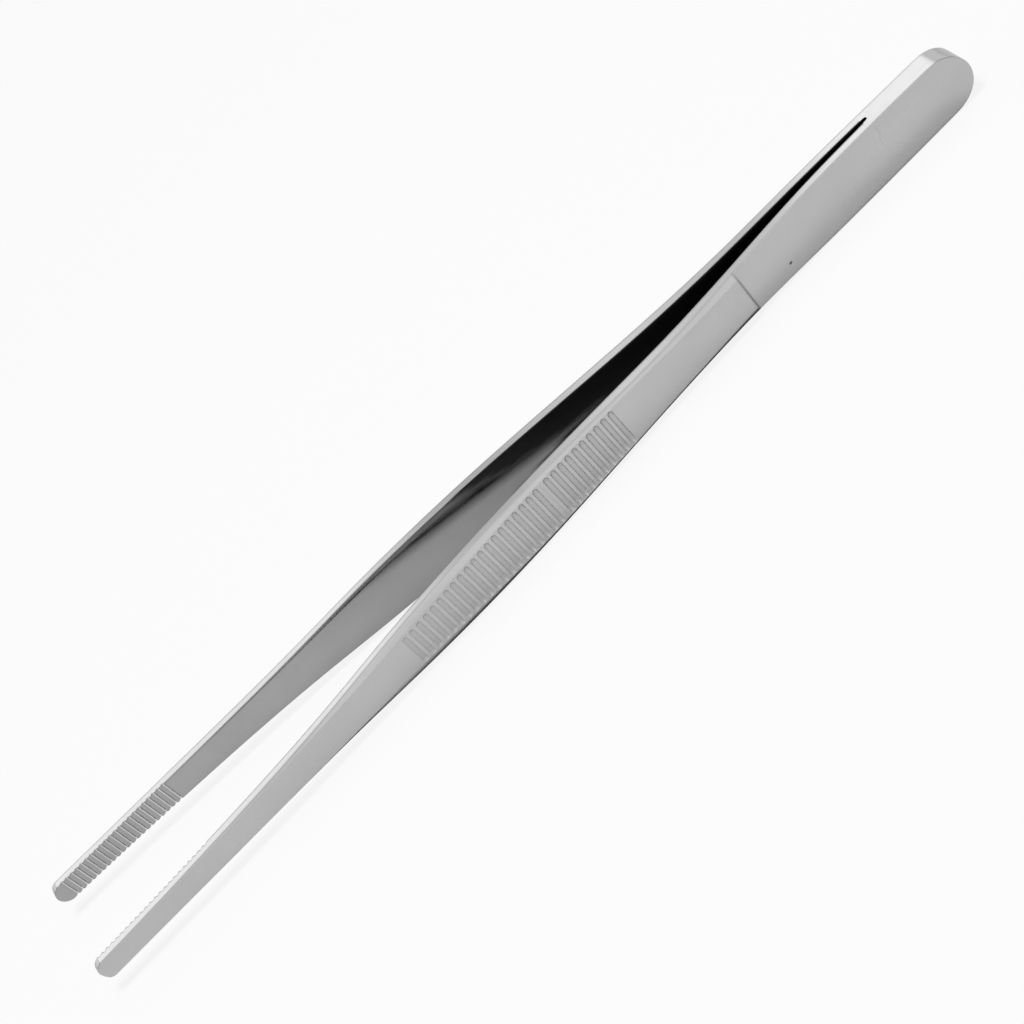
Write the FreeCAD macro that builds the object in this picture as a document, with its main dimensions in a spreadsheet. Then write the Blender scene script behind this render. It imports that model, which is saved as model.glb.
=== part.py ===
# Thumb dressing forceps, 200 mm pattern: two spring steel arms, welded face to face at the
# rounded head.
#
# Frame, millimetres: +X runs from the head to the tips, +Y across the opening, +Z up through the
# width of the arms, which lie on their long edges. While an arm is modelled, X starts at the head
# end and Z at the middle of the width; at the end both arms move so that the origin is the bottom
# centre of the whole.

import FreeCAD, Part
import math
import os
import Sketcher
from FreeCAD import Placement, Rotation, Vector

doc = FreeCAD.newDocument("thumb_forceps")

# Driving dimensions of the whole and of its repeated details.
SIZES = [
    ("overall_length", 200.0, "head end to tips"),
    ("weld_length", 18.5, "head end to the crotch where the arms part"),
    ("head_length", 50.7, "head end to the foot of the shoulder"),
    ("head_round_margin", 0.12, "what the radius of the round end adds to half its width"),
    ("crown_height", 0.35, "crown of the head's outer face"),
    ("shoulder_ramp", 0.6, "length of the slope that climbs from the head to the grip"),
    ("ridge_offset", 28.9, "shoulder to the start of the ridges"),
    ("ridge_count", 30, "grooves across each grip"),
    ("ridge_pitch", 1.63, "distance between grooves"),
    ("ridge_land", 0.55, "width of the flat ridge between two grooves"),
    ("ridge_depth_rear", 0.32, "depth of the groove next to the head"),
    ("ridge_depth_front", 0.22, "depth of the groove next to the jaw"),
    ("ridge_overrun", 0.05, "how far the end of a groove reaches over the bevel"),
    ("rear_ridges", 10, "grooves that were made in the first setting"),
    ("ridge_slip", 0.82, "extra land between the first setting and the second"),
    ("neck_share", 0.3, "place of the neck on the way from the ridges to the teeth"),
    ("bite_length", 26.8, "first tooth to the tip"),
    ("bite_margin", 1.5, "smooth inner face in front of the last tooth"),
    ("tooth_pitch", 1.1, "distance between teeth"),
    ("tooth_depth", 0.26, "depth of the notch between two teeth"),
    ("tooth_land", 0.25, "width of a tooth's crest"),
    ("tip_round_margin", 0.06, "what the radius of the round tip adds to half its width"),
    ("tip_nose", 0.5, "slope that breaks the outer corner of the tip"),
    ("clearance", 2.0, "reach of every cut past the steel that it removes"),
]

# Sections along the arm. width is the height of the arm as it lies, gap is half the opening, from
# the middle plane to the inner face, and edge is the thickness of the long edges.
BLADE_SECTIONS = [
    # station, width, gap, edge
    ("head_end", 10.9, 0.4, 1.65),
    ("crotch", 11.5, 0.4, 1.65),
    ("spring", 11.15, 0.76, 1.55),
    ("shoulder", 9.75, 1.5, 1.56),
    ("waist", 9.3, 2.33, 1.74),
    ("ridge_rear", 10.15, 3.15, 1.7),
    ("broad", 11.5, 4.79, 1.46),
    ("ridge_front", 10.02, 6.37, 1.24),
    ("neck", 7.92, 7.16, 1.27),
    ("bite", 5.25, 8.58, 1.44),
    ("tip", 4.25, 9.36, 1.52),
]

# From the shoulder on, the outer face is flat and stands above the long edges by rise, with a
# sloping bevel on each side.
FACE_SECTIONS = [
    # station, rise, bevel
    ("shoulder", 0.65, 1.35),
    ("waist", 0.46, 0.80),
    ("ridge_rear", 0.40, 0.68),
    ("broad", 0.52, 1.0),
    ("ridge_front", 0.64, 1.5),
    ("neck", 0.47, 0.82),
    ("bite", 0.18, 0.25),
    ("tip", 0.12, 0.18),
]

sheet = doc.addObject("Spreadsheet::Sheet", "sizes")
rows = list(SIZES)
for kinds, sections in ((("width", "gap", "edge"), BLADE_SECTIONS),
                        (("rise", "bevel"), FACE_SECTIONS)):
    for section in sections:
        for kind, value in zip(kinds, section[1:]):
            rows.append((section[0] + "_" + kind, value, ""))
for row, (alias, value, note) in enumerate(rows, start=1):
    sheet.set("A%d" % row, alias.replace("_", " "))
    sheet.set("B%d" % row, str(value))
    sheet.set("C%d" % row, note)
    sheet.setAlias("B%d" % row, alias)
doc.recompute()


def size(alias):
    return float(sheet.get(alias))


# Where each station lies, as an expression of the sheet.
RIDGE_START = "(sizes.head_length + sizes.ridge_offset)"
RIDGE_RUN = "(sizes.ridge_count * sizes.ridge_pitch + sizes.ridge_slip)"
BITE_START = "(sizes.overall_length - sizes.bite_length)"
STATION_X = {
    "head_end": "0",
    "crotch": "sizes.weld_length",
    "spring": "(sizes.weld_length + sizes.head_length) / 2",
    "shoulder": "sizes.head_length",
    "waist": "sizes.head_length + sizes.ridge_offset / 2",
    "ridge_rear": RIDGE_START,
    "broad": "%s + %s / 2" % (RIDGE_START, RIDGE_RUN),
    "ridge_front": "%s + %s" % (RIDGE_START, RIDGE_RUN),
    "neck": "%s + %s + (%s - %s - %s) * sizes.neck_share" % (RIDGE_START, RIDGE_RUN, BITE_START,
                                                            RIDGE_START, RIDGE_RUN),
    "bite": BITE_START,
    "tip": "sizes.overall_length",
}


def station_x(station):
    return sheet.evalExpression(STATION_X[station].replace("sizes.", ""))


ORIGIN = (-1, 1)
H_AXIS = -1


def edge_y(station):
    return size(station + "_gap") + size(station + "_edge")


# A spline that runs along the arm. Its parameter is X, so it follows the sections without waves.
def line_along(stations, corner):
    curve = Part.BSplineCurve()
    curve.interpolate(Points=[Vector(station_x(station), *corner(station)) for station in stations],
                      Parameters=[station_x(station) for station in stations])
    return curve


# A long edge of the arm: the weld plane or the outer side of the edge, above or below.
def blade_line(outer, side):
    return line_along(blade_stations,
                      lambda station: (edge_y(station) if outer else 0,
                                       side * size(station + "_width") / 2))


def face_corner(station):
    return (edge_y(station) + size(station + "_rise"),
            size(station + "_width") / 2 - size(station + "_bevel"))


# The upper or lower line where the flat outer face meets its bevel.
def face_line(side):
    return line_along(face_stations,
                      lambda station: (face_corner(station)[0], side * face_corner(station)[1]))


def sound_solid(faces):
    shell = Part.Shell(faces)
    shell.sewShape()
    solid = Part.Solid(shell)
    if solid.Volume < 0:
        solid.reverse()
    return solid


blade_stations = [section[0] for section in BLADE_SECTIONS]
face_stations = [section[0] for section in FACE_SECTIONS]
head_end_x = station_x("head_end")
shoulder_x = station_x("shoulder")
tip_x = station_x("tip")
weld_low, weld_high = blade_line(False, -1), blade_line(False, 1)
edge_low, edge_high = blade_line(True, -1), blade_line(True, 1)


# The head is flat on the weld side and along its long edges. Its outer face is crowned: across the
# arm it is a parabola, whose middle control line lies twice the crown above the long edges.
crown_line = line_along(blade_stations,
                        lambda station: (edge_y(station) + 2 * size("crown_height"), 0))
crown = Part.BSplineSurface()
crown.buildFromPolesMultsKnots([list(poles) for poles in zip(edge_low.getPoles(),
                                                             crown_line.getPoles(),
                                                             edge_high.getPoles())],
                               edge_low.getMultiplicities(), [3, 3], edge_low.getKnots(), [0, 1],
                               False, False, edge_low.Degree, 2)


def head_cap(x):
    corners = [line.value(x) for line in (edge_low, weld_low, weld_high, edge_high)]
    edges = [Part.makeLine(start, end) for start, end in zip(corners, corners[1:])]
    edges.append(crown.uIso(x).toShape())
    return Part.Face(Part.Wire(Part.__sortEdges__(edges)))


head_edges = [line.toShape(head_end_x, shoulder_x)
              for line in (edge_low, weld_low, weld_high, edge_high)]
head_faces = [Part.makeRuledSurface(start, end) for start, end in zip(head_edges, head_edges[1:])]
head_faces.append(crown.toShape(head_end_x, shoulder_x, 0, 1))
head_solid = sound_solid(head_faces + [head_cap(head_end_x), head_cap(shoulder_x)])

# The grip and the jaw are ruled faces between six lines: the weld plane, the outer side of the
# long edges, and the corners of the flat outer face. The inner face is cut later.
grip_lines = [weld_low, weld_high, edge_high, face_line(1), face_line(-1), edge_low]
grip_edges = [line.toShape(shoulder_x, tip_x) for line in grip_lines]


def grip_cap(x):
    corners = [line.value(x) for line in grip_lines]
    return Part.Face(Part.makePolygon(corners + corners[:1]))


grip_faces = [Part.makeRuledSurface(edge, grip_edges[i - 5])
              for i, edge in enumerate(grip_edges)]
grip_solid = sound_solid(grip_faces + [grip_cap(shoulder_x), grip_cap(tip_x)])
blank = doc.addObject("Part::Feature", "blank")
blank.Shape = head_solid.fuse(grip_solid)

# The round ends, the shoulder and the tip's slope are cut from that blank.
body = doc.addObject("PartDesign::Body", "arm_blank")
body.BaseFeature = blank
doc.recompute()


def new_sketch(name, role):
    sketch = body.newObject("Sketcher::SketchObject", name)
    plane = next(item for item in body.Origin.OriginFeatures if item.Role == role)
    sketch.AttachmentSupport = [(plane, "")]
    sketch.MapMode = "FlatFace"
    return sketch


def add_lines(sketch, points):
    first = sketch.GeometryCount
    for start, end in zip(points, points[1:]):
        sketch.addGeometry(Part.LineSegment(Vector(*start, 0), Vector(*end, 0)), False)
    for i in range(first + 1, sketch.GeometryCount):
        sketch.addConstraint(Sketcher.Constraint("Coincident", i - 1, 2, i, 1))


def drive(sketch, kind, refs, value, name, expression):
    index = sketch.addConstraint(Sketcher.Constraint(kind, *refs, value))
    sketch.renameConstraint(index, name)
    sketch.setExpression("Constraints." + name, expression)


def cut_through(name, sketch):
    pocket = body.newObject("PartDesign::Pocket", name)
    pocket.Profile = sketch
    pocket.Type = "ThroughAll"
    pocket.Midplane = True
    doc.recompute()


# A round end is what a half circle leaves of the arm's end. side is -1 at the head, where the
# apex lies at X = 0, and 1 at the tip.
def round_end(name, side, apex, apex_expression, width, margin):
    sketch = new_sketch(name + "_outline", "XZ_Plane")
    radius = size(width) / 2 + size(margin)
    reach = size("clearance")
    centre = apex - side * radius
    outside = apex + side * reach
    corner = radius + reach
    circle = Part.Circle(Vector(centre, 0, 0), Vector(0, 0, 1), radius)
    start = -math.pi / 2 if side > 0 else math.pi / 2
    sketch.addGeometry(Part.ArcOfCircle(circle, start, start + math.pi), False)
    top, bottom = (2, 1) if side > 0 else (1, 2)
    add_lines(sketch, [(centre, radius), (centre, corner), (outside, corner),
                       (outside, -corner), (centre, -corner), (centre, -radius)])
    sketch.addConstraint(Sketcher.Constraint("Coincident", 0, top, 1, 1))
    sketch.addConstraint(Sketcher.Constraint("Coincident", 5, 2, 0, bottom))
    sketch.addConstraint(Sketcher.Constraint("PointOnObject", 0, 3, H_AXIS))
    for line in (1, 5):
        sketch.addConstraint(Sketcher.Constraint("Vertical", line))
        sketch.addConstraint(Sketcher.Constraint("PointOnObject", 0, 3, line))
    for line in (2, 4):
        sketch.addConstraint(Sketcher.Constraint("Horizontal", line))
    sketch.addConstraint(Sketcher.Constraint("Symmetric", 3, 1, 3, 2, H_AXIS))
    radius_expression = "(sizes.%s / 2 + sizes.%s)" % (width, margin)
    drive(sketch, "Radius", (0,), radius, "radius", radius_expression)
    drive(sketch, "DistanceX", (*ORIGIN, 0, 3), centre, "centre",
          apex_expression + (" - " if side > 0 else " + ") + radius_expression)
    drive(sketch, "DistanceY", (1, 1, 1, 2), reach, "reach", "sizes.clearance")
    ends = (2, 1, 2, 2) if side > 0 else (2, 2, 2, 1)
    drive(sketch, "DistanceX", ends, radius + reach, "depth",
          radius_expression + " + sizes.clearance")
    cut_through(name, sketch)


round_end("head_round", -1, 0.0, "0", "head_end_width", "head_round_margin")
round_end("tip_round", 1, size("overall_length"), "sizes.overall_length", "tip_width",
          "tip_round_margin")


# The shoulder's wall is laid back to a slope, and a like slope breaks the outer corner of the tip.
# Each is a triangle in the side view, driven by its first corner and its two legs.
def cut_corner(name, corner, corner_expressions, legs, leg_expressions):
    sketch = new_sketch(name + "_outline", "XY_Plane")
    x, y = corner
    along_x, along_y = legs
    add_lines(sketch, [(x, y), (x + along_x, y + along_y), (x, y + along_y), (x, y)])
    sketch.addConstraint(Sketcher.Constraint("Coincident", 2, 2, 0, 1))
    sketch.addConstraint(Sketcher.Constraint("Horizontal", 1))
    sketch.addConstraint(Sketcher.Constraint("Vertical", 2))
    drive(sketch, "DistanceX", (*ORIGIN, 0, 1), x, "at_x", corner_expressions[0])
    drive(sketch, "DistanceY", (*ORIGIN, 0, 1), y, "at_y", corner_expressions[1])
    ends = (0, 1, 0, 2) if along_x > 0 else (0, 2, 0, 1)
    drive(sketch, "DistanceX", ends, abs(along_x), "along_x", leg_expressions[0])
    drive(sketch, "DistanceY", (0, 1, 0, 2), along_y, "along_y", leg_expressions[1])
    cut_through(name, sketch)


# The slope at the shoulder starts at the top of the head's crown and is drawn twice as long as
# the climb needs, so that it runs out above the grip's face.
crown_top = edge_y("shoulder") + size("crown_height")
climb = size("shoulder_rise") - size("crown_height")
cut_corner("shoulder_slope",
           (size("head_length"), crown_top),
           ("sizes.head_length", "sizes.shoulder_gap + sizes.shoulder_edge + sizes.crown_height"),
           (2 * size("shoulder_ramp"), 2 * climb),
           ("2 * sizes.shoulder_ramp", "2 * (sizes.shoulder_rise - sizes.crown_height)"))

# The slope at the tip starts on the end face, below the outer face by its own length.
tip_face = edge_y("tip") + size("tip_rise")
cut_corner("tip_slope",
           (size("overall_length"), tip_face - size("tip_nose")),
           ("sizes.overall_length",
            "sizes.tip_gap + sizes.tip_edge + sizes.tip_rise - sizes.tip_nose"),
           (-3 * size("tip_nose"), 2 * size("tip_nose")),
           ("3 * sizes.tip_nose", "2 * sizes.tip_nose"))

# A ridge is the land between two round-bottomed grooves. Each groove is cut by a rod that lies
# across the face, sunk into it by the groove's depth. The rod tapers to a point at both ends, so
# that the groove rises to a rounded end that just reaches the bevel. The grooves get shallower
# towards the jaw.
flat_line = grip_lines[3]
groove_half = (size("ridge_pitch") - size("ridge_land")) / 2


def groove(x, depth):
    radius = groove_half ** 2 / (2 * depth) + depth / 2
    face = flat_line.value(x)
    reach = face.z + size("ridge_overrun") - groove_half
    taper = groove_half * radius / depth
    y = face.y + radius - depth
    rod = Part.makeCylinder(radius, 2 * reach, Vector(x, y, -reach))
    for side in (-1, 1):
        rod = rod.fuse(Part.makeCone(radius, 0, taper, Vector(x, y, side * reach),
                                     Vector(0, 0, side)))
    return rod


ridge_count = int(size("ridge_count"))
grooves = []
for i in range(ridge_count):
    x = station_x("ridge_rear") + (i + 0.5) * size("ridge_pitch")
    if i >= size("rear_ridges"):
        x += size("ridge_slip")
    share = i / max(ridge_count - 1, 1)
    depth = size("ridge_depth_rear") * (1 - share) + size("ridge_depth_front") * share
    grooves.append(groove(x, depth))

# The crotch is a quarter round as deep as the inner faces stand back from the weld plane. From
# there to the tip the inner face is one smooth curve across the whole width. The teeth are what
# notches in that curve leave. Those of one jaw lie half a pitch from those of the other,
# so that the jaws mesh when they close.
gap_line = line_along(blade_stations[1:], lambda station: (size(station + "_gap"), 0))
notch_half = (size("tooth_pitch") - size("tooth_land")) / 2
cut_height = max(size(station + "_width") for station in blade_stations) + 2 * size("clearance")


def notch_outline(x):
    y = gap_line.value(x).y
    reach = notch_half * (1 + size("clearance") / size("tooth_depth"))
    corners = [Vector(x, y + size("tooth_depth"), 0), Vector(x - reach, y - size("clearance"), 0),
               Vector(x + reach, y - size("clearance"), 0)]
    return Part.Face(Part.makePolygon(corners + corners[:1]))


def opening(shift):
    crotch_x = station_x("crotch")
    depth = size("crotch_gap")
    past_tip = tip_x + size("clearance")
    low = -size("clearance")
    corners = [Vector(crotch_x - depth, 0, 0), Vector(crotch_x - depth, low, 0),
               Vector(past_tip, low, 0), Vector(past_tip, size("tip_gap"), 0),
               Vector(tip_x, size("tip_gap"), 0)]
    edges = [Part.makeLine(start, end) for start, end in zip(corners, corners[1:])]
    edges += [gap_line.toShape(),
              Part.makeCircle(depth, Vector(crotch_x, 0, 0), Vector(0, 0, 1), 90, 180)]
    face = Part.Face(Part.Wire(Part.__sortEdges__(edges)))
    count = int((size("bite_length") - size("bite_margin") - shift) / size("tooth_pitch"))
    first = station_x("bite") + notch_half + shift
    face = face.fuse([notch_outline(first + i * size("tooth_pitch")) for i in range(count)])
    face = face.removeSplitter().Faces[0]
    face.translate(Vector(0, 0, -cut_height / 2))
    return face.extrude(Vector(0, 0, cut_height))


def cut(name, base, shape):
    tool = doc.addObject("Part::Feature", name + "_tool")
    tool.Shape = shape
    result = doc.addObject("Part::Cut", name)
    result.Base = base
    result.Tool = tool
    doc.recompute()
    return result


# Rods side by side overlap above the face, so every second groove is cut at a time.
half_ridged = cut("half_ridged", body, Part.Compound(grooves[::2]))
ridged = cut("ridged", half_ridged, Part.Compound(grooves[1::2]))
left = cut("left_arm", ridged, opening(0))
left.Label = "arm_left"
right_blank = cut("right_blank", ridged, opening(size("tooth_pitch") / 2))
right = doc.addObject("Part::Mirroring", "right_arm")
right.Source = right_blank
right.Normal = Vector(0, 1, 0)
right.Label = "arm_right"
doc.recompute()

# Both arms move together, so that the origin is the bottom centre of the whole.
arms = [left, right]
lowest = min(arm.Shape.optimalBoundingBox(False, False).ZMin for arm in arms)
for arm in arms:
    arm.Placement = Placement(Vector(-size("overall_length") / 2, 0, -lowest), Rotation())
doc.recompute()

# Every object has to be sound before anything is written.
for item in doc.Objects:
    if "Invalid" in item.State or "Error" in item.State:
        raise RuntimeError(item.Label + " failed to build")
for arm in arms:
    if arm.Shape.isNull() or not arm.Shape.isValid() or len(arm.Shape.Solids) != 1:
        raise RuntimeError(arm.Label + " is not one sound solid")

os.makedirs("parts", exist_ok=True)
for arm in arms:
    arm.Shape.exportStep(os.path.join("parts", arm.Label + ".step"))
    box = arm.Shape.optimalBoundingBox(False, False)
    print(arm.Label, "%.1f mm3" % arm.Shape.Volume,
          "x %.2f %.2f y %.2f %.2f z %.2f %.2f" % (box.XMin, box.XMax, box.YMin, box.YMax,
                                                  box.ZMin, box.ZMax))
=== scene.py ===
import math

import bmesh
import bpy
import numpy as np
from mathutils import Matrix, Vector


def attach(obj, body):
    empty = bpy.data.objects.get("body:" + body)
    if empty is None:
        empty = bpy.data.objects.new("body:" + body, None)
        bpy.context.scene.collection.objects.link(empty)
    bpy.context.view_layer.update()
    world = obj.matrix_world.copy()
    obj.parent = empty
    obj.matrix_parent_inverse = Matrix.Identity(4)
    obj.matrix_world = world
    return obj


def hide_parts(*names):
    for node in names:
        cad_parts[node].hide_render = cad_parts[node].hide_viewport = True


# The forceps lies on the long edges of its arms: +X from the head to the tips, +Y across the
# opening, +Z up. Sizes are in millimetres; meshes are made in metres.
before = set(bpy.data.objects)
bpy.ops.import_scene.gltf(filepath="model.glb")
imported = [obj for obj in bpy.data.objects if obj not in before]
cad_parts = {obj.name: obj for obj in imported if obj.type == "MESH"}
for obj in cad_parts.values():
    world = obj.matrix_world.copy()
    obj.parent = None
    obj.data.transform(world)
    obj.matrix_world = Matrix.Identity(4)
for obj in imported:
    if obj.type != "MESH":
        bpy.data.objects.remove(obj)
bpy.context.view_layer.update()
MM = 0.001

# Sizes that the solids have too.
LENGTH = 200.0
WELD_LENGTH = 18.5
HEAD_LENGTH = 50.7
HEAD_RADIUS = 5.57
CROWN = 0.35
SHOULDER_RAMP = 0.6
CROTCH_GAP = 0.4
RIDGE_START = 79.6
RIDGE_COUNT = 30
RIDGE_PITCH = 1.63
RIDGE_LAND = 0.55
RIDGE_DEPTH_REAR = 0.32
RIDGE_DEPTH_FRONT = 0.22
RIDGE_OVERRUN = 0.05
REAR_RIDGES = 10
RIDGE_SLIP = 0.82
RIDGE_END = RIDGE_START + RIDGE_COUNT * RIDGE_PITCH + RIDGE_SLIP
BITE_START = 173.2
BITE_MARGIN = 1.5
TOOTH_PITCH = 1.1
TOOTH_DEPTH = 0.26
TOOTH_LAND = 0.25
TIP_RADIUS = 2.185
TIP_NOSE = 0.5

SPRING = (WELD_LENGTH + HEAD_LENGTH) / 2
WAIST = (HEAD_LENGTH + RIDGE_START) / 2
BROAD = (RIDGE_START + RIDGE_END) / 2
NECK = RIDGE_END + 0.3 * (BITE_START - RIDGE_END)

# Sections along an arm: X, width, half of the opening, thickness of the long edge.
BLADE = [
    (0.0, 10.9, 0.4, 1.65),
    (WELD_LENGTH, 11.5, 0.4, 1.65),
    (SPRING, 11.15, 0.76, 1.55),
    (HEAD_LENGTH, 9.75, 1.5, 1.56),
    (WAIST, 9.3, 2.33, 1.74),
    (RIDGE_START, 10.15, 3.15, 1.7),
    (BROAD, 11.5, 4.79, 1.46),
    (RIDGE_END, 10.02, 6.37, 1.24),
    (NECK, 7.92, 7.16, 1.27),
    (BITE_START, 5.25, 8.58, 1.44),
    (LENGTH, 4.25, 9.36, 1.52),
]
# The raised outer face from the shoulder on: X, height above the long edge, width of its bevels.
RAISED = [
    (HEAD_LENGTH, 0.65, 1.35),
    (WAIST, 0.46, 0.80),
    (RIDGE_START, 0.40, 0.68),
    (BROAD, 0.52, 1.0),
    (RIDGE_END, 0.64, 1.5),
    (NECK, 0.47, 0.82),
    (BITE_START, 0.18, 0.25),
    (LENGTH, 0.12, 0.18),
]
OUTER_ROUND = 0.15
INNER_ROUND = 0.12
# A small pit in the head of the near arm, darker and rougher inside, fully so from a third of its depth
# on.
PIT_X = 42.4
PIT_Z = -2.6
PIT_RADIUS = 0.34
PIT_DEPTH = 0.3
PIT_DULL_RATE = 3


# A smooth curve through stations, with end slopes from the parabola through the last three.
def spline(places, values):
    places = np.array(places, float)
    values = np.array(values, float)
    count = len(places)
    step = np.diff(places)
    rise = np.diff(values) / step
    system = np.eye(count)
    right = np.zeros(count)
    right[0] = rise[0] - (rise[1] - rise[0]) * step[0] / (step[0] + step[1])
    right[-1] = rise[-1] + (rise[-1] - rise[-2]) * step[-1] / (step[-1] + step[-2])
    for i in range(1, count - 1):
        system[i, i - 1:i + 2] = (step[i], 2 * (step[i - 1] + step[i]), step[i - 1])
        right[i] = 3 * (step[i] * rise[i - 1] + step[i - 1] * rise[i])
    slope = np.linalg.solve(system, right)

    def at(x):
        x = np.clip(x, places[0], places[-1])
        i = np.clip(np.searchsorted(places, x) - 1, 0, count - 2)
        h = step[i]
        t = (x - places[i]) / h
        return (values[i] * (2 * t ** 3 - 3 * t ** 2 + 1) + values[i + 1] * (3 * t ** 2 - 2 * t ** 3)
                + h * (slope[i] * (t ** 3 - 2 * t ** 2 + t) + slope[i + 1] * (t ** 3 - t ** 2)))
    return at


blade_x = [row[0] for row in BLADE]
raised_x = [row[0] for row in RAISED]
half_width = spline(blade_x, [row[1] / 2 for row in BLADE])
edge_line = spline(blade_x, [row[2] + row[3] for row in BLADE])
gap_line = spline(blade_x[1:], [row[2] for row in BLADE[1:]])
station_edge = dict(zip(blade_x, [row[2] + row[3] for row in BLADE]))
station_half = dict(zip(blade_x, [row[1] / 2 for row in BLADE]))
corner_y = spline(raised_x, [station_edge[row[0]] + row[1] for row in RAISED])
corner_z = spline(raised_x, [station_half[row[0]] - row[2] for row in RAISED])


# The lesser of two values, with a soft change from one to the other.
def smooth_min(a, b, width):
    h = np.clip(0.5 + 0.5 * (b - a) / width, 0, 1)
    return b * (1 - h) + a * h - width * h * (1 - h)


# Half of the arm's height at X, with both round ends.
def outline(x):
    half = half_width(x)
    for apex, radius in ((0.0, HEAD_RADIUS), (LENGTH, TIP_RADIUS)):
        inward = np.clip(np.abs(x - apex), 0, radius)
        arc = np.sqrt(np.maximum(radius ** 2 - (radius - inward) ** 2, 0))
        half = np.where(inward < radius, np.minimum(half, arc), half)
    return half


# How far a point lies inside the outline.
def inside(x, z):
    depth = outline(x) - np.abs(z)
    for centre, side, radius in ((HEAD_RADIUS, -1, HEAD_RADIUS), (LENGTH - TIP_RADIUS, 1, TIP_RADIUS)):
        beyond = side * (x - centre) > 0
        depth = np.where(beyond, np.minimum(half_width(x) - np.abs(z),
                                            radius - np.hypot(x - centre, z)), depth)
    return np.maximum(depth, 0)


# How much a rounded edge takes off a face at a depth inside the outline.
def rounding(depth, radius):
    left = np.clip(radius - depth, 0, radius)
    return radius - np.sqrt(np.maximum(radius ** 2 - left ** 2, 0))


# How dull and how dark the places are: 0 is polished, 1.4 is nearly black, and below 0 is brighter.
# The grooves are darker, as painted shade, and rougher, fully from GROOVE_FADE deep on, and the
# shoulder's wall is darker as painted shade and rougher, less so at its upper end.
GROOVE_DULL_AND_SHADE = 0.12
GROOVE_FADE = 0.1
SHOULDER_SHADE = 0.49
SHOULDER_SHADE_FALL = 0.21
# A faint line across the grip where the grooves slip by half a pitch.
SLIP_X = RIDGE_START + REAR_RIDGES * RIDGE_PITCH + RIDGE_SLIP / 2
SLIP_HALF = 0.3
# A faint curved scratch at the end of the weld, on one part of the arm's height.
SCRATCH_X = 18.2
SCRATCH_SWEEP = 1.3
SCRATCH_HALF = 0.25
SCRATCH_DULL = 0.12
SCRATCH_TOP = 0.85
SCRATCH_FALL = 0.65
SCRATCH_MIDDLE = 0.52
SCRATCH_REACH = 0.33
# The inner face is darker, as painted shade between the arms, and rougher, from the weld to these
# places, by the share of the arm's half height.
INNER_DULL_AND_SHADE = 1.2
SHADE_SHARES = (0.0, 0.15, 0.45, 0.95)
SHADE_ENDS = (80.0, 89.0, 99.0, 108.0)
SHADE_FADE = 5.0
# The painted highlight on one flank in each notch: where it starts and ends, as shares of the notch's
# half width.
NOTCH_HIGHLIGHT = 1.4
HIGHLIGHT_START = -0.55
HIGHLIGHT_END = 0.06
HIGHLIGHT_FADE = 0.12

# How softly the bevels run into the raised face, and the outer face into the slope of the tip.
BEVEL_BLEND = 0.14
NOSE_BLEND = 0.1
NOSE_SLOPE = 2 / 3

groove_half = (RIDGE_PITCH - RIDGE_LAND) / 2
groove_order = np.arange(RIDGE_COUNT)
groove_x = RIDGE_START + (groove_order + 0.5) * RIDGE_PITCH
groove_x += RIDGE_SLIP * (groove_order >= REAR_RIDGES)
groove_depth = np.linspace(RIDGE_DEPTH_REAR, RIDGE_DEPTH_FRONT, RIDGE_COUNT)
groove_radius = groove_half ** 2 / (2 * groove_depth) + groove_depth / 2


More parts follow.
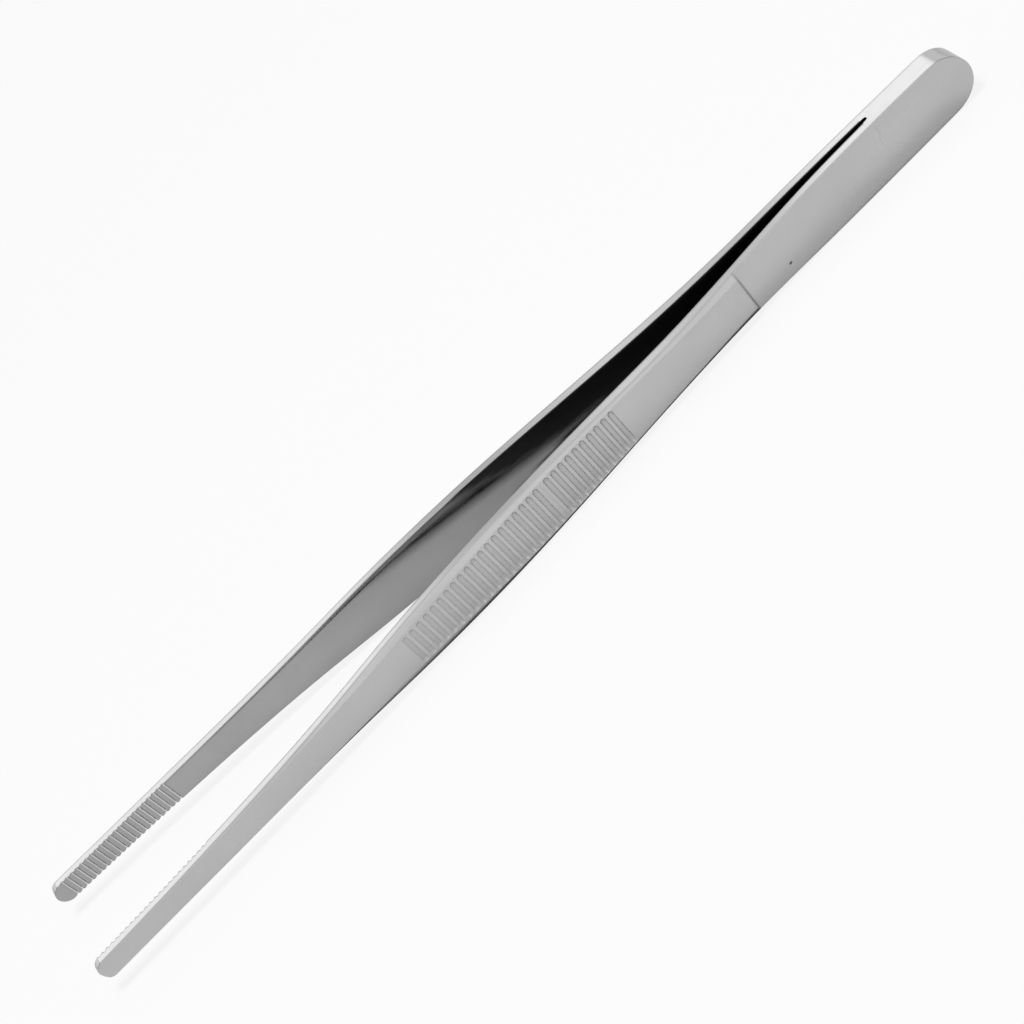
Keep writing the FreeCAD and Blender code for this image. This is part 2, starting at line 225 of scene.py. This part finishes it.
# The outer face as a height over the middle plane, and how dull and dark it is: the grooves and the
# shoulder's wall are rougher and darker, the darkness being painted shade.
def outer_height(x, z, pitted):
    edge = edge_line(x)
    span = half_width(x)
    head = edge + CROWN * (1 - np.clip(np.abs(z) / span, 0, 1) ** 2)
    slope = (span - np.abs(z)) / (span - corner_z(x))
    bevel = smooth_min(slope, np.ones_like(slope), BEVEL_BLEND)
    raised = edge + (corner_y(x) - edge) * np.maximum(bevel, 0)
    top = edge_line(HEAD_LENGTH) + CROWN
    climb = np.clip((x - HEAD_LENGTH) / SHOULDER_RAMP, 0, 1)
    wall = top + (corner_y(HEAD_LENGTH) - top) * climb ** 3 * (10 - 15 * climb + 6 * climb ** 2)
    grip = np.where(climb < 1, np.minimum(raised, wall), raised)
    height = np.where(x < HEAD_LENGTH, head, grip)
    nearest = np.argmin(np.abs(x[..., None] - groove_x), axis=-1)
    centre = groove_x[nearest]
    depth = groove_depth[nearest]
    radius = groove_radius[nearest]
    reach = corner_z(centre) + RIDGE_OVERRUN - groove_half
    taper = groove_half * radius / depth
    rod = radius * (1 - np.clip((np.abs(z) - reach) / taper, 0, 1))
    bottom = corner_y(centre) + radius - depth - np.sqrt(np.maximum(rod ** 2 - (x - centre) ** 2, 0))
    groove = np.where(np.abs(x - centre) < rod, np.maximum(height - bottom, 0), 0)
    height = height - groove
    nose = corner_y(LENGTH) - TIP_NOSE + (LENGTH - x) * NOSE_SLOPE
    # Painted shade on the shoulder's wall, darker towards its lower end.
    on_wall = np.clip(2 - np.abs(4 * climb - 2), 0, 1)
    wall_shade = on_wall * (SHOULDER_SHADE - SHOULDER_SHADE_FALL * z / span)
    # The grooves are rougher, and darker as painted shade.
    dull_and_painted_light = np.maximum(GROOVE_DULL_AND_SHADE * np.clip(groove / GROOVE_FADE, 0, 1), wall_shade)
    slip_line = 1 - np.abs(x - SLIP_X) / SLIP_HALF
    dull_and_painted_light = np.maximum(dull_and_painted_light, GROOVE_DULL_AND_SHADE * np.clip(slip_line, 0, 1) * (np.abs(z) < reach))
    if pitted:
        pit = np.clip(1 - np.hypot(x - PIT_X, z - PIT_Z) / PIT_RADIUS, 0, 1)
        height = height - PIT_DEPTH * pit
        dull_and_painted_light = np.maximum(dull_and_painted_light, np.clip(PIT_DULL_RATE * pit, 0, 1))
        share = z / span
        fall = np.clip((SCRATCH_TOP - share) / SCRATCH_FALL, 0, 1)
        curve = SCRATCH_X + SCRATCH_SWEEP * fall ** 2
        scratch = np.clip(1 - np.abs(x - curve) / SCRATCH_HALF, 0, 1)
        scratch = scratch * (np.abs(share - SCRATCH_MIDDLE) < SCRATCH_REACH)
        dull_and_painted_light = np.maximum(dull_and_painted_light, SCRATCH_DULL * scratch)
    return smooth_min(height, nose, NOSE_BLEND), dull_and_painted_light


notch_half = (TOOTH_PITCH - TOOTH_LAND) / 2
# How round the root of a notch is, as a share of its half width.
NOTCH_ROOT = 0.35


# The middles of the notches. The far arm's are shifted by half a pitch.
def notch_places(shift):
    room = LENGTH - BITE_START - BITE_MARGIN - shift
    first = BITE_START + notch_half + shift
    return first + np.arange(int(room / TOOTH_PITCH)) * TOOTH_PITCH


# The inner face as a height over the middle plane: hollow at the weld's end, with V notches.
def inner_height(x, notches):
    back = np.abs(x - WELD_LENGTH)
    hollow = np.sqrt(np.maximum(CROTCH_GAP ** 2 - back ** 2, 0))
    height = np.where(x < WELD_LENGTH, hollow, gap_line(x))
    off = np.min(np.abs(x[..., None] - notches), axis=-1) / notch_half
    rim = math.hypot(1, NOTCH_ROOT)
    flank = (rim - np.hypot(off, NOTCH_ROOT)) / (rim - NOTCH_ROOT)
    return height + TOOTH_DEPTH * np.maximum(flank, 0)


# Where the rings of the mesh lie: RING_STEP or WELD_STEP apart along plain runs, and close together
# at each detail. The shoulder's are in mm from the head's end, the grooves' and the notches' are
# shares of their half width, and the nose's are in mm before the tip.
RING_STEP = 0.8
WELD_STEP = 1.0
SCRATCH_STEP = 0.1
SHOULDER_RINGS = [-0.3, -0.1, -0.02, 0.0, 0.02, 0.06, 0.14, 0.26, 0.38, 0.48, 0.54, 0.6, 0.66, 0.74,
                  0.9, 1.2]
GROOVE_RINGS = [-1.12, -1.04, -1, -0.96, -0.85, -0.65, -0.45, -0.22, 0, 0.22, 0.45, 0.65, 0.85,
                0.96, 1, 1.04, 1.12]
NOTCH_RINGS = [-1, -0.96, -0.7, -0.45, -0.25, -0.1, 0, 0.1, 0.25, 0.45, 0.7, 0.96, 1]
NOSE_RINGS = [1.6, 1.2, 0.9, 0.75, 0.6]


def ring_places(notches):
    turn = np.linspace(0, math.pi / 2, 26)
    places = [HEAD_RADIUS * (1 - np.cos(turn)), LENGTH - TIP_RADIUS * (1 - np.cos(turn))]
    places.append(np.arange(6, WELD_LENGTH - CROTCH_GAP, WELD_STEP))
    places.append(WELD_LENGTH - CROTCH_GAP * np.cos(np.linspace(0, math.pi / 2, 7)))
    places.append(np.arange(WELD_LENGTH + 0.5, HEAD_LENGTH - 0.5, RING_STEP))
    places.append(PIT_X + PIT_RADIUS * np.linspace(-1, 1, 9))
    scratch_end = SCRATCH_X + SCRATCH_SWEEP + SCRATCH_HALF
    places.append(np.arange(SCRATCH_X - SCRATCH_HALF, scratch_end, SCRATCH_STEP))
    places.append(SLIP_X + SLIP_HALF * np.linspace(-1, 1, 5))
    places.append(HEAD_LENGTH + np.array(SHOULDER_RINGS))
    places.append(np.arange(HEAD_LENGTH + 1.8, RIDGE_START - 0.4, RING_STEP))
    for centre in groove_x:
        places.append(centre + groove_half * np.array(GROOVE_RINGS))
    places.append(np.arange(RIDGE_END, BITE_START - 0.4, RING_STEP))
    for centre in notches:
        places.append(centre + notch_half * np.array(NOTCH_RINGS))
    places.append(LENGTH - np.array(NOSE_RINGS))
    places = np.unique(np.round(np.concatenate(places), 4))
    return places[(places >= 0) & (places <= LENGTH)]


# How dull and dark the inner face is: darker as painted shade between the arms, and rougher, towards the
# weld, further along at its edges than in the middle, and a painted highlight near the root of each
# notch, on the flank that faces the tips.
def inner_dull_and_painted_light(x, share, notches):
    # Painted shade between the arms, towards the weld.
    dull_end = np.interp(np.abs(share), SHADE_SHARES, SHADE_ENDS)
    left = np.clip((dull_end - x) / SHADE_FADE + 0.5, 0, 1)
    nearest = notches[np.argmin(np.abs(x[..., None] - notches), axis=-1)]
    off = (x - nearest) / notch_half
    # A painted highlight near the root of each notch, on the flank that faces the tips.
    root_highlight = np.clip(np.minimum(off - HIGHLIGHT_START, HIGHLIGHT_END - off) / HIGHLIGHT_FADE, 0, 1)
    return INNER_DULL_AND_SHADE * left ** 2 * (3 - 2 * left) - NOTCH_HIGHLIGHT * root_highlight


# The lines along an arm on its outer face, from its upper edge to its lower one: shares of the
# section's half width.
FLAT_LINES = (0.4, 0.75, 1.0)
GROOVE_END_LINES = (-0.1, 0.0, 0.05, 0.15, 0.22, 0.3, 0.45, 0.65, 0.85, 1.0)
MIDDLE_LINES = (0.75, 0.5, 0.25, 0.0)


def outer_lines(x):
    span = half_width(x)
    flat_head = span - station_half[HEAD_LENGTH] + corner_z(HEAD_LENGTH)
    flat = np.where(x < HEAD_LENGTH, flat_head, corner_z(x))
    turns = np.linspace(0, math.pi / 2, 6)
    lines = [span - OUTER_ROUND * (1 - math.cos(turn)) for turn in turns]
    start = lines[-1]
    lines += [start + (flat - start) * t for t in FLAT_LINES]
    reach = flat + RIDGE_OVERRUN
    lines += [reach - groove_half * t for t in GROOVE_END_LINES]
    lines += [(reach - groove_half) * t for t in MIDDLE_LINES]
    pit_line = abs(PIT_Z) / half_width(PIT_X) * span
    lines += [pit_line + PIT_RADIUS * t for t in np.linspace(-1, 1, 7)]
    shares = -np.sort(-np.array([line / span for line in lines]), axis=0)
    return np.concatenate([shares, -shares[-2::-1]])


# The same for the inner face, from its lower edge to its upper one.
INNER_LINES = (0.8, 0.6, 0.45, 0.3, 0.15, 0)


def inner_lines(x):
    span = half_width(x)
    turns = np.linspace(0, math.pi / 2, 4)
    lines = [(span - INNER_ROUND * (1 - math.cos(turn))) / span for turn in turns]
    lines += [share * np.ones_like(x) for share in INNER_LINES]
    shares = np.array(lines)
    return np.concatenate([shares, -shares[-2::-1]])[::-1]


# The lines on a long edge, as shares of the way across it.
WALL_LINES = (0.25, 0.5, 0.75)
FLUSH_FADE = 2.0
CREASE = math.radians(35)
# The height of the middle line, so that the widest section touches the floor.
axis_height = half_width(np.arange(0, LENGTH, 0.05)).max()


# One closed mesh for an arm. Each ring runs round a section: the outer face from top to bottom, the
# lower long edge, the inner face back up, and the upper long edge. The inner edges are rounded only
# where the arms part, because they are flush along the weld.
def arm_mesh(name, side, shift):
    notches = notch_places(shift)
    x = ring_places(notches)
    half = outline(x)
    outer_z = (outer_lines(x) * half).T
    outer_x = np.repeat(x[:, None], outer_z.shape[1], axis=1)
    outer_y, outer_dull_and_shade = outer_height(outer_x, outer_z, side > 0)
    outer_y = outer_y - rounding(inside(outer_x, outer_z), OUTER_ROUND)
    inner_z = (inner_lines(x) * half).T
    inner_x = np.repeat(x[:, None], inner_z.shape[1], axis=1)
    parted = np.clip((inner_x - WELD_LENGTH) / FLUSH_FADE, 0, 1)
    inner_y = inner_height(inner_x, notches)
    inner_y = inner_y + rounding(inside(inner_x, inner_z), INNER_ROUND) * parted
    share = np.array(WALL_LINES)
    lower_y = outer_y[:, -1:] * (1 - share) + inner_y[:, :1] * share
    upper_y = inner_y[:, -1:] * (1 - share) + outer_y[:, :1] * share
    wall_z = np.repeat(half[:, None], len(share), axis=1)
    ring_y = np.concatenate([outer_y, lower_y, inner_y, upper_y], axis=1)
    ring_z = np.concatenate([outer_z, -wall_z, inner_z, wall_z], axis=1)
    rings, around = ring_y.shape
    ring_x = np.repeat(x[:, None], around, axis=1)
    points = np.stack([ring_x - LENGTH / 2, side * ring_y, ring_z + axis_height], axis=-1)
    inner_first = outer_y.shape[1] + len(share)
    inner_end = inner_first + inner_y.shape[1]
    faces = []
    finishes = []
    for i in range(rings - 1):
        for j in range(around):
            k = (j + 1) % around
            quad = [i * around + j, i * around + k, (i + 1) * around + k, (i + 1) * around + j]
            faces.append(quad if side < 0 else quad[::-1])
            finishes.append(1 if inner_first <= j < inner_end - 1 else 0)
    mesh = bpy.data.meshes.new(name)
    mesh.from_pydata((points.reshape(-1, 3) * MM).tolist(), [], faces)
    mesh.polygons.foreach_set("material_index", finishes)
    mesh.polygons.foreach_set("use_smooth", [True] * len(faces))
    inner_dull_and_painted_lights = inner_dull_and_painted_light(inner_x, inner_z / half_width(x)[:, None], notches)
    for label, first, dulls in (("outer_dull_and_shade", 0, outer_dull_and_shade), ("inner_dull_and_painted_light", inner_first, inner_dull_and_painted_lights)):
        values = np.zeros((rings, around))
        values[:, first:first + dulls.shape[1]] = dulls
        mesh.attributes.new(label, "FLOAT", "POINT").data.foreach_set("value", values.ravel())
    work = bmesh.new()
    work.from_mesh(mesh)
    bmesh.ops.remove_doubles(work, verts=work.verts, dist=1e-8)
    bmesh.ops.recalc_face_normals(work, faces=work.faces)
    work.to_mesh(mesh)
    work.free()
    mesh.set_sharp_from_angle(angle=CREASE)
    piece = bpy.data.objects.new(name, mesh)
    bpy.context.scene.collection.objects.link(piece)
    return piece


# A shader node. A socket among the inputs is linked, and anything else is set.
def add(tree, kind, inputs=None, **settings):
    item = tree.nodes.new(kind)
    for key, value in settings.items():
        setattr(item, key, value)
    for key, value in (inputs or {}).items():
        if isinstance(value, bpy.types.NodeSocket):
            tree.links.new(value, item.inputs[key])
        else:
            item.inputs[key].default_value = value
    return item


def noise(tree, place, stretch):
    moved = add(tree, "ShaderNodeMapping", {"Vector": place, "Scale": stretch}).outputs[0]
    return add(tree, "ShaderNodeTexNoise", {"Vector": moved, "Scale": 1.0, "Detail": 3.0}).outputs["Fac"]


# The middle part of a noise, spread from low to high.
def between(tree, value, low, high):
    return add(tree, "ShaderNodeMapRange", {"Value": value, "From Min": 0.3, "From Max": 0.7,
                                            "To Min": low, "To Max": high}).outputs["Result"]


# How many features the noises have in a metre, along the arm and across it: fine lines, and clouds.
LINE_SCALE = (300, 4000, 4000)
CLOUD_SCALE = (90, 160, 160)
# Two dull values and the share of the colour that each leaves (the darkening is painted shade, the
# brightening a painted highlight), and how much rougher dull 1 is.
BRIGHTEST = (-1.5, 2.05)
DULLEST = (1.4, 0.02)
DULL_ROUGH = 0.3


# Polished steel: fine lines along the arm from polishing, and broad faint clouds in its gloss.
def steel(name, dull_and_painted_light_name, tone, tone_spread, rough, rough_spread, line_height):
    material = bpy.data.materials.new(name)
    material.use_nodes = True
    tree = material.node_tree
    shader = tree.nodes["Principled BSDF"]
    shader.inputs["Metallic"].default_value = 1.0
    place = add(tree, "ShaderNodeTexCoord").outputs["Object"]
    lines = noise(tree, place, LINE_SCALE)
    clouds = noise(tree, place, CLOUD_SCALE)
    clean = between(tree, clouds, tone - tone_spread, tone + tone_spread)
    # The dull attribute makes the steel rougher, and darker or brighter as painted shade and painted
    # highlight.
    dull_and_painted_light = add(tree, "ShaderNodeAttribute", attribute_name=dull_and_painted_light_name).outputs["Fac"]
    left = add(tree, "ShaderNodeMapRange", {"Value": dull_and_painted_light,
                                            "From Min": BRIGHTEST[0], "To Min": BRIGHTEST[1],
                                            "From Max": DULLEST[0], "To Max": DULLEST[1]})
    colour = add(tree, "ShaderNodeMath", {0: clean, 1: left.outputs["Result"]}, operation="MULTIPLY")
    tree.links.new(colour.outputs[0], shader.inputs["Base Color"])
    both = add(tree, "ShaderNodeMath", {0: lines, 1: clouds}, operation="ADD").outputs[0]
    half = add(tree, "ShaderNodeMath", {0: both, 1: 0.5}, operation="MULTIPLY").outputs[0]
    gloss = between(tree, half, rough - rough_spread, rough + rough_spread)
    matt = add(tree, "ShaderNodeMath", {0: dull_and_painted_light, 1: 0.0}, operation="MAXIMUM").outputs[0]
    rougher = add(tree, "ShaderNodeMath", {0: matt, 1: DULL_ROUGH, 2: gloss},
                  operation="MULTIPLY_ADD")
    tree.links.new(rougher.outputs[0], shader.inputs["Roughness"])
    bump = add(tree, "ShaderNodeBump", {"Height": lines, "Strength": 1.0, "Distance": line_height})
    tree.links.new(bump.outputs["Normal"], shader.inputs["Normal"])
    return material


outer_steel = steel("outer_steel", "outer_dull_and_shade", tone=0.615, tone_spread=0.02, rough=0.24,
                    rough_spread=0.04, line_height=1.5e-6)
# The inner faces: the same steel, darker as painted shade between the arms, and smoother.
shaded_inner_steel = steel("shaded_inner_steel", "inner_dull_and_painted_light", tone=0.46, tone_spread=0.02, rough=0.07,
                    rough_spread=0.02, line_height=5e-7)
for label, node_name, side, shift in (("near_arm", "arm_left", 1, 0.0),
                                      ("far_arm", "arm_right", -1, TOOTH_PITCH / 2)):
    arm = arm_mesh(label, side, shift)
    arm.data.materials.append(outer_steel)
    arm.data.materials.append(shaded_inner_steel)
    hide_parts(node_name)
    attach(arm, "root")


# A pale floor. Its colour darkens as painted shade where little of the room reaches it, as steps of the
# open share and the tone, and the camera sees it as white with a faint shadow.
FLOOR_REACH = 3.0
FLOOR_SHADE_TONES = [(0.15, 0.05), (0.40, 0.38), (0.54, 0.56), (0.62, 0.58), (0.78, 0.76), (1.0, 0.83)]
OPEN_DISTANCE = 0.011
SHADOW_DEPTH = 0.12


def floor_material():
    material = bpy.data.materials.new("floor")
    material.use_nodes = True
    tree = material.node_tree
    tree.nodes.clear()
    open_share = add(tree, "ShaderNodeAmbientOcclusion", {"Distance": OPEN_DISTANCE}, samples=16)
    # Painted shade: the floor's colour darkens where the open share is small.
    ramp = add(tree, "ShaderNodeValToRGB", {"Fac": open_share.outputs["AO"]})
    while len(ramp.color_ramp.elements) < len(FLOOR_SHADE_TONES):
        ramp.color_ramp.elements.new(1.0)
    for element, (share, tone) in zip(ramp.color_ramp.elements, FLOOR_SHADE_TONES):
        element.position = share
        element.color = (tone, tone, tone, 1)
    plain = add(tree, "ShaderNodeBsdfDiffuse", {"Color": ramp.outputs["Color"]})
    glow = add(tree, "ShaderNodeEmission", {"Color": (1, 1, 1, 1), "Strength": 1.0})
    rays = add(tree, "ShaderNodeLightPath")
    share = add(tree, "ShaderNodeMath", {0: rays.outputs["Is Camera Ray"], 1: 1 - SHADOW_DEPTH},
                operation="MULTIPLY")
    mix = add(tree, "ShaderNodeMixShader", {0: share.outputs[0], 1: plain.outputs[0],
                                            2: glow.outputs[0]})
    add(tree, "ShaderNodeOutputMaterial", {"Surface": mix.outputs[0]})
    return material


floor_corners = [(FLOOR_REACH * i, FLOOR_REACH * j, 0) for i, j in ((-1, -1), (1, -1), (1, 1), (-1, 1))]
floor_mesh = bpy.data.meshes.new("floor")
floor_mesh.from_pydata(floor_corners, [], [(0, 1, 2, 3)])
floor = bpy.data.objects.new("floor", floor_mesh)
bpy.context.scene.collection.objects.link(floor)
floor.data.materials.append(floor_material())

scene = bpy.context.scene
scene.view_settings.view_transform = "Standard"

# A soft studio round the object: a plain level everywhere, and broad brighter parts given by their
# direction, the angle at which each fades out and at which it is full, and its strength. Reflections
# show it, the camera sees white, and all else gets a faint fill.
ROOM_LEVEL = 0.42
FILL_LEVEL = 0.08
ROOM_LIGHTS = [
    ((0.0, -0.745, 0.668), 60, 10, 0.04),
    ((-0.31, -0.70, 0.64), 15, 5, 1.15),
    ((-0.10, -0.74, 0.66), 9, 3, 0.25),
    ((0.30, -0.69, 0.65), 17, 6, 1.05),
    ((0.62, -0.73, 0.2), 24, 6, 0.6),
    ((-0.62, -0.73, 0.2), 24, 6, 0.4),
    ((0.0, 0.98, 0.2), 50, 10, 0.5),
    ((0.0, 0.0, 1.0), 44, 10, 0.45),
]
world = bpy.data.worlds.new("studio")
scene.world = world
world.use_nodes = True
tree = world.node_tree
tree.nodes.clear()
sight = add(tree, "ShaderNodeTexCoord").outputs["Generated"]
level = add(tree, "ShaderNodeValue").outputs[0]
level.default_value = ROOM_LEVEL
for direction, outer_angle, inner_angle, strength in ROOM_LIGHTS:
    toward = add(tree, "ShaderNodeVectorMath", {0: sight, 1: Vector(direction).normalized()},
                 operation="DOT_PRODUCT").outputs["Value"]
    lobe = add(tree, "ShaderNodeMapRange", {"Value": toward,
                                            "From Min": math.cos(math.radians(outer_angle)),
                                            "From Max": math.cos(math.radians(inner_angle)),
                                            "To Min": 0.0, "To Max": strength},
               interpolation_type="SMOOTHSTEP").outputs["Result"]
    level = add(tree, "ShaderNodeMath", {0: level, 1: lobe}, operation="ADD").outputs[0]
rays = add(tree, "ShaderNodeLightPath")
fill = add(tree, "ShaderNodeBackground", {"Color": (1, 1, 1, 1), "Strength": FILL_LEVEL})
room = add(tree, "ShaderNodeBackground", {"Color": (1, 1, 1, 1), "Strength": level})
white = add(tree, "ShaderNodeBackground", {"Color": (1, 1, 1, 1), "Strength": 1.0})
seen = add(tree, "ShaderNodeMixShader", {0: rays.outputs["Is Glossy Ray"], 1: fill.outputs[0],
                                         2: room.outputs[0]})
mix = add(tree, "ShaderNodeMixShader", {0: rays.outputs["Is Camera Ray"], 1: seen.outputs[0],
                                        2: white.outputs[0]})
add(tree, "ShaderNodeOutputWorld", {"Surface": mix.outputs[0]})


# A lamp that reflections don't show.
def panel(name, place, aim, width, height, power):
    light = bpy.data.lights.new(name, "AREA")
    light.shape = "RECTANGLE"
    light.size = width
    light.size_y = height
    light.energy = power
    lamp = bpy.data.objects.new(name, light)
    lamp.location = place
    lamp.rotation_euler = (Vector(place) - Vector(aim)).to_track_quat("Z", "Y").to_euler()
    lamp.visible_glossy = False
    scene.collection.objects.link(lamp)


panel("top_light", (0.0, 0.08, 0.85), (0, 0, 0), 0.2, 0.2, 6.0)

# The photograph's camera, fitted to the edges of both arms.
CAMERA_FROM = Vector((1.106, 299.972, 273.665)) * MM
CAMERA_AIM = Vector((2.411, 0.493, 5.205)) * MM
CAMERA_ROLL = math.radians(-44.844)
lens = bpy.data.cameras.new("camera")
lens.sensor_width = 36.0
lens.lens = 87.88
lens.clip_start = 0.01
camera = bpy.data.objects.new("camera", lens)
look = (CAMERA_FROM - CAMERA_AIM).to_track_quat("Z", "Y").to_matrix().to_4x4()
camera.matrix_world = Matrix.Translation(CAMERA_FROM) @ look @ Matrix.Rotation(CAMERA_ROLL, 4, "Z")
scene.collection.objects.link(camera)
scene.camera = camera
